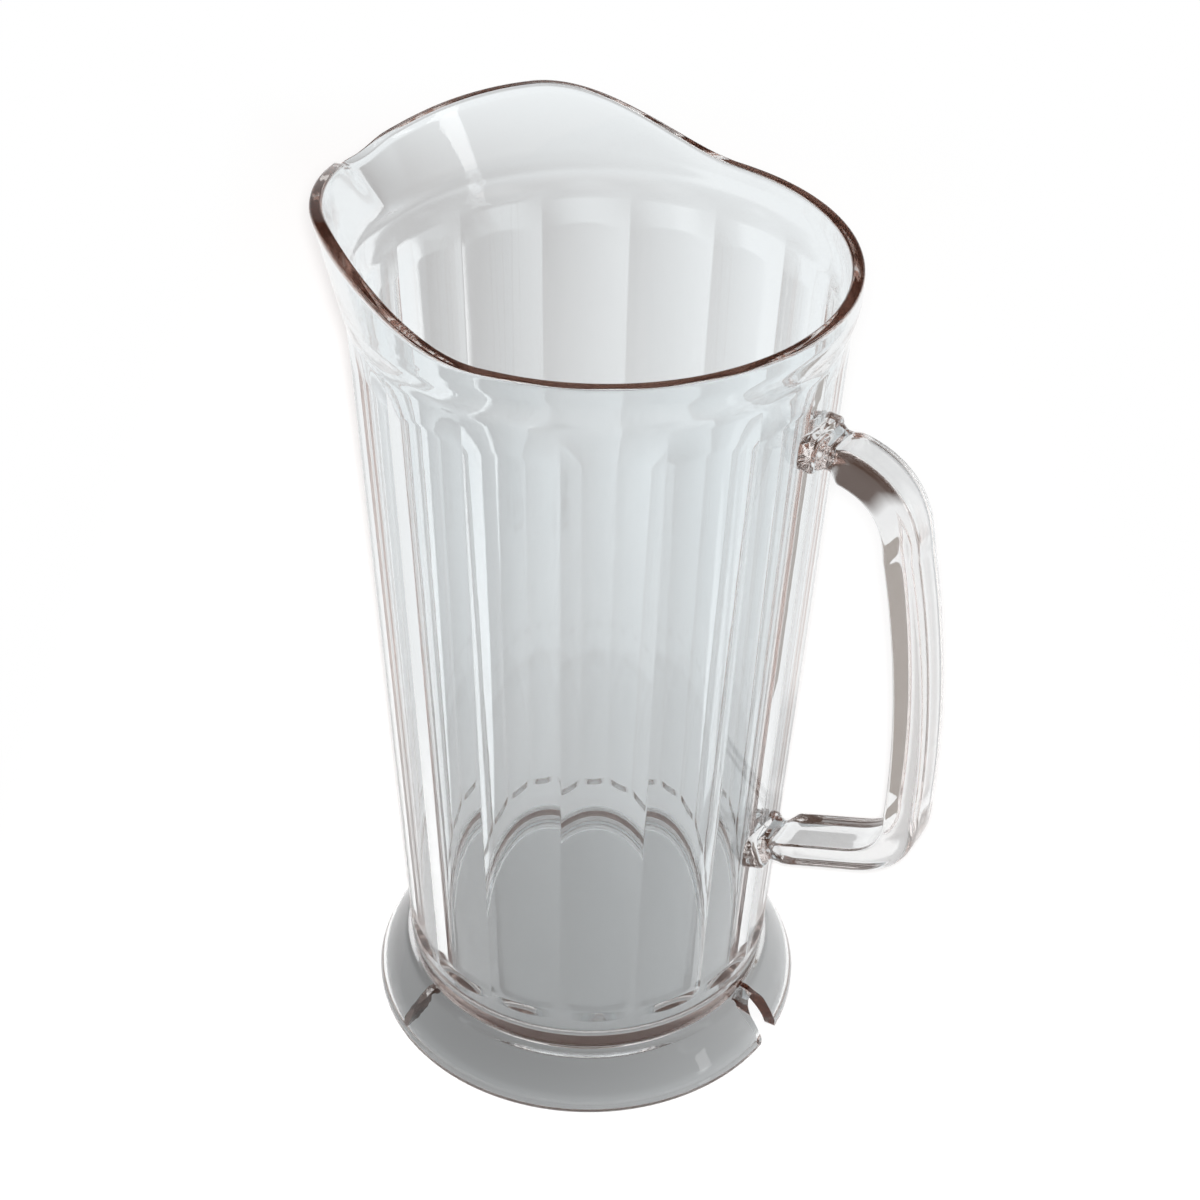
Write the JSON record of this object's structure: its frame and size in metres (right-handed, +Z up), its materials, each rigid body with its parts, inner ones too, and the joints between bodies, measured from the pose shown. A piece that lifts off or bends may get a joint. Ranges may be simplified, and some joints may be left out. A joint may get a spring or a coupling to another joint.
{
  "type": "pitcher",
  "caption": "Clear plastic pitcher with a fluted tapering wall, raised pouring lip with a pointed beak, loop handle and flared hollow foot with a drain notch.",
  "frame": {"origin": "on the table under the middle of the whole object's box; the vessel's own axis is 11.8 mm towards the beak", "axes": "+Z up, +X from the vessel's axis towards the handle, -X towards the pouring beak, +Y to the side"},
  "size_m": [0.1726, 0.1268, 0.2465],
  "materials": {
    "clear_plastic": "clear moulded polycarbonate, glossy, faint cool grey, warm brown in thick edges"
  },
  "bodies": {
    "root": {"vessel_body": "clear_plastic", "base_skirt": "clear_plastic", "handle": "clear_plastic"}
  },
  "joints": []
}
